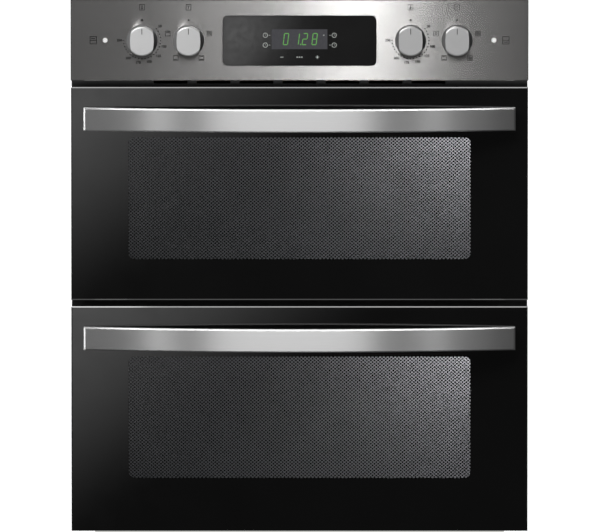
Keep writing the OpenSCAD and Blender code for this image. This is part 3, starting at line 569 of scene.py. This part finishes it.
def print_oven_signs(ink):
    """A small two-oven picture beside each indicator lamp, with a bar in the lamp's own oven."""
    z = (lamp_low.z + lamp_high.z) / 2
    w, h = 8.4 * MM, 9.6 * MM
    for door, side, half in (("upper", -1, 1), ("lower", 1, -1)):
        x = side * 268 * MM
        bar_z = z + half * h / 4
        shapes = frame_strokes(x, z, w, h, STROKE * 1.2)
        shapes.append(bar(x - w / 2, z, x + w / 2, z, STROKE))
        shapes.append(bar(x - w / 4, bar_z, x + w / 4, bar_z, STROKE * 1.3))
        artwork(f"sign_{door}_oven", shapes, front, ink)


def print_pointers(ink):
    """The dark line in the groove of each knob."""
    for key, (low, _) in knob_box.items():
        x, z = knob_axis(key)
        line = bar(x, z + 9.5 * MM, x, z + 16.2 * MM, 0.9 * MM)
        artwork(f"{key}_pointer", [line], low.y, ink, f"{key}_control")


def print_fascia():
    ink = print_ink("fascia_ink", 0.006, 0.012)
    print_pointers(ink)
    print_thermostat("upper_thermostat", ink)
    print_thermostat("lower_thermostat", ink)
    print_selector("upper_selector", [(fan_picture,), (oven_picture, BOTH_BARS),
                                      (oven_picture, BOTTOM_BAR), (oven_picture, TOP_BAR)], ink)
    print_selector("lower_selector", [(fan_picture,), (fan_picture,),
                                      (oven_picture, BOTH_BARS), (lamp_picture,)], ink)
    print_oven_signs(ink)


# ---------- timer display ----------

DIGIT_W = 5.6 * MM
DIGIT_H = 14.6 * MM
SEGMENT = 1.5 * MM
SLANT = 0.12
SEGMENTS = {"0": "abcdef", "1": "bc", "2": "abged", "8": "abcdefg"}
TIME_SHOWN = (("0", -17.6), ("1", -3.6), ("2", 7.0), ("8", 19.6))   # figures and their places in mm
SCREEN_W = 72.4 * MM
SCREEN_H = 25.8 * MM
SCREEN_RISE = 1.9 * MM      # from the middle of the glass to the middle of the screen
TOUCH_ROW = -21.4 * MM      # from the middle of the glass to the touch signs
DASH = 0.9 * MM


def digit(figure, x, z):
    """A slanted figure of up to seven bars, about its middle."""
    w, h, gap = DIGIT_W / 2, DIGIT_H / 2, SEGMENT * 0.62
    ends = {"a": (-w + gap, h, w - gap, h),
            "b": (w, gap, w, h - gap),
            "c": (w, -h + gap, w, -gap),
            "d": (-w + gap, -h, w - gap, -h),
            "e": (-w, -h + gap, -w, -gap),
            "f": (-w, gap, -w, h - gap),
            "g": (-w + gap, 0, w - gap, 0)}
    shapes = []
    for key in SEGMENTS[figure]:
        x0, z0, x1, z1 = ends[key]
        stroke = bar(x0, z0, x1, z1, SEGMENT * 0.8)
        shapes.append([(x + sx + SLANT * sz, z + sz) for sx, sz in stroke])
    return shapes


def clock_sign(x, z):
    """A ring with two hands and a dash beside it."""
    side = 1 if x > 0 else -1
    shapes = ring_strokes(x, z, 2.9 * MM, 0.5 * MM, 18)
    shapes += [bar(x, z, x, z + 1.4 * MM, 0.35 * MM), bar(x, z, x + 1.0 * MM, z, 0.35 * MM)]
    shapes.append(bar(x - side * 4.6 * MM, z, x - side * 6.2 * MM, z, 0.6 * MM))
    return shapes


def time_figures(screen_z):
    """The time and its point, as lit bars."""
    shapes = []
    for figure, middle in TIME_SHOWN:
        shapes += digit(figure, middle * MM, screen_z + 0.2 * MM)
    shapes.append(disc(1.5 * MM, screen_z - 6.8 * MM, 0.95 * MM, 10))
    return shapes


def screen_signs(screen_z):
    """A dot on the screen, and two clocks on each side of it."""
    shapes = [disc(31.5 * MM, screen_z + 5.3 * MM, 0.9 * MM, 10)]
    for x in (-44.5 * MM, 45 * MM):
        for rise in (5.2 * MM, -7.6 * MM):
            shapes += clock_sign(x, screen_z + rise)
    return shapes


def touch_signs(z):
    """A minus, a plus and three dots between them."""
    plus_x, reach = 23.2 * MM, 1.8 * MM
    shapes = [bar(-24.6 * MM, z, -21.4 * MM, z, DASH)]
    shapes.append(bar(plus_x - reach, z, plus_x + reach, z, DASH))
    shapes.append(bar(plus_x, z - reach, plus_x, z + reach, DASH))
    shapes += [disc(x, z, 1.0 * MM, 12) for x in (-3 * MM, 0, 3 * MM)]
    return shapes


def display_face():
    """The grey screen, its lit figures, and the white signs on the smoked glass; the glow of the screen and
    of the signs is painted light.
    """
    z = (display_low.z + display_high.z) / 2
    screen_z = z + SCREEN_RISE
    screen = [(x * SCREEN_W / 2, screen_z + up * SCREEN_H / 2)
              for x, up in ((-1, -1), (1, -1), (1, 1), (-1, 1))]
    # The grey screen and the white signs glow as painted light, brighter than the light on them makes them;
    # only the green figures are the display's own light.
    grey = glowing("screen_grey", (0.060, 0.060, 0.066), 1.0)
    green = glowing("green_segments", (0.22, 0.62, 0.16), 0.55)
    white = glowing("white_signs", (0.75, 0.77, 0.75), 0.42)
    signs = screen_signs(screen_z) + touch_signs(z + TOUCH_ROW)
    artwork("display_screen", [screen], display_low.y, grey, height=0.03 * MM)
    artwork("display_figures", time_figures(screen_z), display_low.y, green)
    artwork("display_signs", signs, display_low.y, white)


# ---------- dot screens in the door windows ----------

CELL_W = 4.88 * MM
CELL_H = 4.36 * MM
HOLE_R = 1.32 * MM
HOLE_SIDES = 8


def cell_middles():
    """Middles of the staggered cells that a window shows, from the window's own middle."""
    columns = math.ceil(WINDOW_W / CELL_W / 2) + 1
    rows = math.ceil(WINDOW_H / CELL_H / 2) + 1
    for row in range(-2 * rows, 2 * rows + 1):
        shift = CELL_W / 2 if row % 2 else 0.0
        for column in range(-columns, columns + 1):
            x, z = column * CELL_W + shift, row * CELL_H / 2
            if abs(x) <= (WINDOW_W + CELL_W) / 2 and abs(z) <= (WINDOW_H + CELL_H) / 2:
                yield x, z


def cell_outline():
    """The four corners of a diamond cell, then the corners of its hole."""
    corners = [(CELL_W / 2, 0), (0, CELL_H / 2), (-CELL_W / 2, 0), (0, -CELL_H / 2)]
    return corners + disc(0, 0, HOLE_R, HOLE_SIDES)


def dot_screen(door, mat):
    """A sheet of diamond cells, each with a round hole, on the back of the window."""
    back_y = glass[door][1].y + 0.2 * MM
    middle = window_middle(door)
    outline = cell_outline()
    verts, faces = [], []
    for x, z in cell_middles():
        first = len(verts)
        hole = first + 4
        verts += [(x + dx, back_y, middle + z + dz) for dx, dz in outline]
        for corner in range(4):
            a, b, c = (hole + (2 * corner + k) % HOLE_SIDES for k in range(3))
            faces.append((first + corner, first + (corner + 1) % 4, c, b, a))
    mesh = bpy.data.meshes.new(f"{door}_dot_screen")
    mesh.from_pydata(verts, [], faces)
    mesh.materials.append(mat)
    piece = bpy.data.objects.new(f"{door}_dot_screen", mesh)
    scene.collection.objects.link(piece)
    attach(piece, f"{door}_door")
    return piece


# ---------- light, floor and camera ----------

FASCIA_Z = 0.64             # about the middle of the fascia
HANDLE_DROP = 41 * MM       # from a door's top edge to the middle of its handle
# How far in front of the fascia each glow card stands: apart, so that none hides another
CARD_DISTANCE = {"upper_outer_glass": 4.0, "lower_outer_glass": 3.8, "display_window": 4.2}


def collection_of(name, objects):
    group = bpy.data.collections.new(name)
    for piece in objects:
        group.objects.link(piece)
    return group


def soft_light(name, where, towards, size, power, only=None, unshaded=False):
    """An area light, which may light some pieces only, and may pass through all the others."""
    data = bpy.data.lights.new(name, "AREA")
    data.shape = "RECTANGLE"
    data.size, data.size_y = size
    data.energy = power
    light = bpy.data.objects.new(name, data)
    scene.collection.objects.link(light)
    light.location = where
    light.rotation_mode = "QUATERNION"
    light.rotation_quaternion = (Vector(towards) - Vector(where)).to_track_quat("-Z", "Y")
    if only:
        group = collection_of(f"{name}_receivers", only)
        light.light_linking.receiver_collection = group
        if unshaded:
            light.light_linking.blocker_collection = group


def glow_card(name, corner, size, strength, receiver):
    """A clear card that one glossy black piece mirrors, glowing most at its top left corner."""
    width, height = size
    mat = bpy.data.materials.new(name)
    mat.use_nodes = True
    mat.node_tree.nodes.clear()
    parts = add_node(mat, "ShaderNodeSeparateXYZ", {"Vector": place(mat)})
    across = maths(mat, "DIVIDE", parts.outputs["X"], width)
    down = maths(mat, "DIVIDE", parts.outputs["Z"], -height)
    near = maths(mat, "SUBTRACT", 1.0, maths(mat, "ADD", across, down))
    inputs = {"Value": near, "From Min": 0.0, "From Max": 1.0, "To Min": 0.0, "To Max": strength}
    level = add_node(mat, "ShaderNodeMapRange", inputs, interpolation_type="SMOOTHSTEP").outputs["Result"]
    light = add_node(mat, "ShaderNodeEmission", {"Strength": level}).outputs[0]
    clear = add_node(mat, "ShaderNodeBsdfTransparent").outputs[0]
    both = add_node(mat, "ShaderNodeAddShader", {0: light, 1: clear}).outputs[0]
    add_node(mat, "ShaderNodeOutputMaterial", {"Surface": both})
    verts = [(0, 0, 0), (width, 0, 0), (width, 0, -height), (0, 0, -height)]
    mesh = bpy.data.meshes.new(name)
    mesh.from_pydata(verts, [], [(0, 1, 2, 3)])
    mesh.materials.append(mat)
    card = bpy.data.objects.new(name, mesh)
    scene.collection.objects.link(card)
    card.location = corner
    card.visible_camera = False
    card.visible_diffuse = False
    card.visible_shadow = False
    card.light_linking.receiver_collection = collection_of(f"{name}_receivers", [receiver])


def mirrored(x, z, distance):
    """Where the camera's line to a point on the front plane meets a card, after its reflection."""
    camera = scene.camera.location
    share = distance / (front - camera.y)
    return x + (x - camera.x) * share, z + (z - camera.z) * share


def glow(name, left, top, width, height, strength, receiver):
    """The card whose reflection fades out over a width and height from a corner of a black surface."""
    distance = CARD_DISTANCE[receiver]
    x0, z0 = mirrored(left, top, distance)
    x1, z1 = mirrored(left + width, top - height, distance)
    glow_card(name, (x0, front - distance, z0), (x1 - x0, z0 - z1), strength, nodes[receiver])


def light_scene(screens):
    """Each shiny part has its own lights, because each mirrors a different part of the studio."""
    panes = [nodes[f"{door}_outer_glass"] for door in DOORS]
    handles = [nodes[f"{door}_handle_bar"] for door in DOORS]
    light_controls()
    soft_light("pane_edges", (-0.3, front - 0.75, 1.55), (-0.1, front, 0.5), (1.5, 0.5), 24, panes)
    soft_light("pane_low_edge", (-0.3, front - 0.4, -0.5), (-0.2, front, 0.3), (1.3, 0.4), 3,
               panes[:1], True)
    soft_light("gap_light", (0, front - 1.5, 0.9), (0, front, 0.4), (1.0, 1.0), 1.6, [nodes["front_frame"]])
    apart = [nodes["fascia_panel"]] + handles
    rest = [node for node in nodes.values() if node not in apart]
    soft_light("key", (-0.9, front - 1.6, 2.3), (0, 0, 0.4), (1.2, 0.9), 30, rest)
    soft_light("fill", (2.2, front - 0.6, 1.6), (0, 0, 0.3), (1.5, 1.5), 20, rest)
    soft_light("back", (-1.0, 2.4, 0.55), (0, 0.3, 0.35), (1.6, 1.0), 60, rest)
    casing = [nodes[name] for name in ("side_panel_left", "side_panel_right", "rear_cover", "top_cover")]
    for side, power in ((-1, 24), (1, 42)):
        soft_light(f"casing_light_{side}", (side * 2.0, 0.6, 2.0), (0, 0.1, 0.35), (1.4, 1.2),
                   power, casing)
    for door, screen in zip(DOORS, screens):
        light_handle(door)
        light_window(door, screen)
        low, high = glass[door]
        glow(f"{door}_glow", low.x - 0.03, high.z + 0.03, 0.49, 0.37, 1.9, f"{door}_outer_glass")
    glow("display_glow", display_low.x, display_high.z, 0.13, 0.18, 2.2, "display_window")


def light_controls():
    """A bright band right of the middle of the fascia, its wide slopes, and one light on the knobs."""
    fascia = [nodes["fascia_panel"]]
    knobs = [nodes[f"{key}_knob"] for key in knob_box]
    away = front - 1.6
    strip_x = 0.085
    side_x = -0.045
    soft_light("fascia_strip", (strip_x, away, 1.25), (strip_x, front, FASCIA_Z), (0.10, 0.7), 3.4, fascia)
    soft_light("fascia_side", (side_x, away, 1.25), (side_x, front, FASCIA_Z), (0.24, 0.7), 0.95,
               fascia, True)
    soft_light("fascia_even", (-0.25, away, 1.3), (-0.2, front, FASCIA_Z), (1.2, 0.9), 1.0, fascia, True)
    soft_light("knob_light", (-0.8, front - 2.2, 1.3), (0, front, FASCIA_Z), (0.4, 0.4), 26, knobs)
    for side in (-1, 1):
        soft_light(f"fascia_side_light_{side}", (side * 1.5, front - 1.9, 0.9), (0, front, FASCIA_Z),
                   (1.0, 1.2), 14, fascia)


def light_window(door, screen):
    """A light close to the top right of a dot screen, and a weak one over all of it."""
    z = window_middle(door)
    soft_light(f"{door}_window_light", (0.30, front - 0.12, z + 0.15), (0.25, front, z + 0.03),
               (0.30, 0.05), 0.92, [screen], True)
    soft_light(f"{door}_window_even", (-0.2, front - 1.0, z + 0.5), (-0.1, front, z), (0.8, 0.5), 0.8,
               [screen], True)


def light_handle(door):
    """Lights that one bar mirrors: two wide ones, a strip at each side, one above and one at its end."""
    grip_z = glass[door][1].z - HANDLE_DROP
    bar_only = [nodes[f"{door}_handle_bar"]]
    boxes = (("front", -0.037, 0.64, 2.15), ("even", -0.25, 2.4, 1.5),
             ("left", -0.56, 0.05, 0.34), ("right", 0.53, 0.05, 0.22))
    for side, x, width, power in boxes:
        soft_light(f"{door}_handle_{side}", (x, front - 1.0, grip_z + 0.21), (x / 3, front, grip_z),
                   (width, 0.5), power, bar_only)
    soft_light(f"{door}_handle_edge", (0, front - 0.1, grip_z + 1.0), (0, front, grip_z),
               (1.1, 0.3), 8, bar_only, True)
    soft_light(f"{door}_handle_end", (-1.4, front - 0.1, grip_z + 0.1), (-0.28, front, grip_z),
               (0.3, 0.5), 3, bar_only, True)


def world_light():
    """White behind the object, and a dim even light on it."""
    world = bpy.data.worlds.new("studio")
    world.use_nodes = True
    tree = world.node_tree
    background = tree.nodes["Background"]
    path = tree.nodes.new("ShaderNodeLightPath")
    level = tree.nodes.new("ShaderNodeMapRange")
    level.inputs["To Min"].default_value = 0.07
    level.inputs["To Max"].default_value = 1.0
    tree.links.new(path.outputs["Is Camera Ray"], level.inputs["Value"])
    tree.links.new(level.outputs["Result"], background.inputs["Strength"])
    background.inputs["Color"].default_value = (1, 1, 1, 1)
    scene.world = world


PLINTH_HEIGHT = 100 * MM
PLINTH_INSET = 10 * MM
PLINTH_SET_BACK = 30 * MM


def slab(name, low, high, mat):
    """A plain block of the stage."""
    mesh = bmesh.new()
    bmesh.ops.create_cube(mesh, size=1.0)
    for vert in mesh.verts:
        vert.co = Vector([lo + (c + 0.5) * (hi - lo) for c, lo, hi in zip(vert.co, low, high)])
    data = bpy.data.meshes.new(name)
    mesh.to_mesh(data)
    mesh.free()
    data.materials.append(mat)
    block = bpy.data.objects.new(name, data)
    scene.collection.objects.link(block)
    block.visible_glossy = False
    block.visible_diffuse = False
    return block


def make_stage():
    """A pale floor, and a plinth that carries the oven as its cabinet would."""
    pale = new_material("studio_floor", Roughness=0.8, Emission_Strength=0.55)
    shade = ramp(pale, noise(pale, 3), [(0.3, 0.90), (0.7, 0.93)])
    feed(pale, "Base Color", shade)
    feed(pale, "Emission Color", shade)
    floor_z = -PLINTH_HEIGHT
    floor = slab("studio_floor", (-20, -20, floor_z - 20 * MM), (20, 30, floor_z), pale)
    low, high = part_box("base_tray")
    plinth = slab("studio_plinth", (low.x + PLINTH_INSET, low.y + PLINTH_SET_BACK, floor_z),
                  (high.x - PLINTH_INSET, high.y, low.z), pale)
    data = bpy.data.lights.new("floor_light", "SUN")
    data.energy = 2.2
    data.angle = 0.7
    light = bpy.data.objects.new("floor_light", data)
    scene.collection.objects.link(light)
    light.rotation_euler = (math.radians(12), 0, 0)
    light.light_linking.receiver_collection = collection_of("floor_light_receivers", [floor, plinth])


CAMERA_TILT = math.radians(4.6)     # how far the camera looks down
CAMERA_LENS = 800                   # so long that the front is seen almost without perspective
SENSOR = 36
IMAGE_W = 780.6 * MM                # what the picture's width spans on the plane of the fascia
IMAGE_MIDDLE = Vector((0.6 * MM, front, 348.3 * MM))


def make_camera():
    """A long lens, aimed at the middle of the front."""
    data = bpy.data.cameras.new("camera")
    data.lens = CAMERA_LENS
    data.sensor_width = SENSOR
    data.clip_start = 0.1
    data.clip_end = 80
    camera = bpy.data.objects.new("camera", data)
    scene.collection.objects.link(camera)
    away = Vector((0, -math.cos(CAMERA_TILT), math.sin(CAMERA_TILT)))
    camera.location = IMAGE_MIDDLE + away * IMAGE_W * CAMERA_LENS / SENSOR
    camera.rotation_mode = "QUATERNION"
    camera.rotation_quaternion = (-away).to_track_quat("-Z", "Y")
    scene.camera = camera


dress_cad_nodes()
print_fascia()
display_face()
screen_ink = screen_print()
dot_screens = [dot_screen(door, screen_ink) for door in DOORS]
make_camera()
light_scene(dot_screens)
world_light()
make_stage()
scene.view_settings.view_transform = "Standard"
